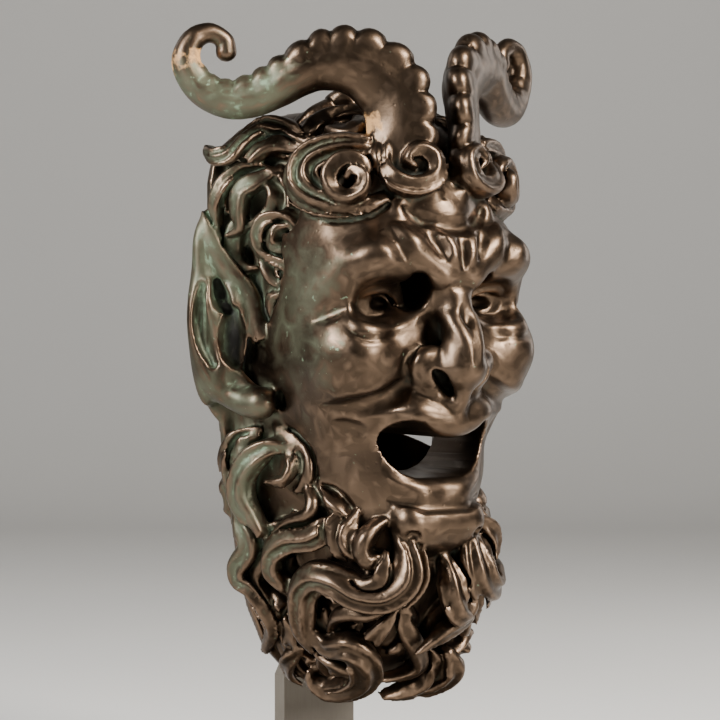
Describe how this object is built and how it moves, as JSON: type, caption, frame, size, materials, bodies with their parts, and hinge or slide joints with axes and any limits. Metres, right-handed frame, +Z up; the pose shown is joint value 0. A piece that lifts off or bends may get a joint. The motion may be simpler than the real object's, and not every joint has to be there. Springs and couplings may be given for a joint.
{
  "type": "fountain mask",
  "caption": "Hollow bronze satyr mask with ram's horns, curled hair and beard and an open mouth, on an upright display stand.",
  "frame": {"origin": "centre of the foot plate's underside", "axes": "+Z up, -Y towards the viewer of the face, +X to the viewer's right"},
  "size_m": [0.2216, 0.17, 0.4126],
  "materials": {
    "bronze": "dark brown patinated bronze, polished by handling, green in the hollows",
    "stand_metal": "satin grey-brown lacquered steel"
  },
  "bodies": {
    "root": {"mask": "bronze", "post": "stand_metal", "cross_arm": "stand_metal", "foot_plate": "stand_metal"}
  },
  "joints": []
}
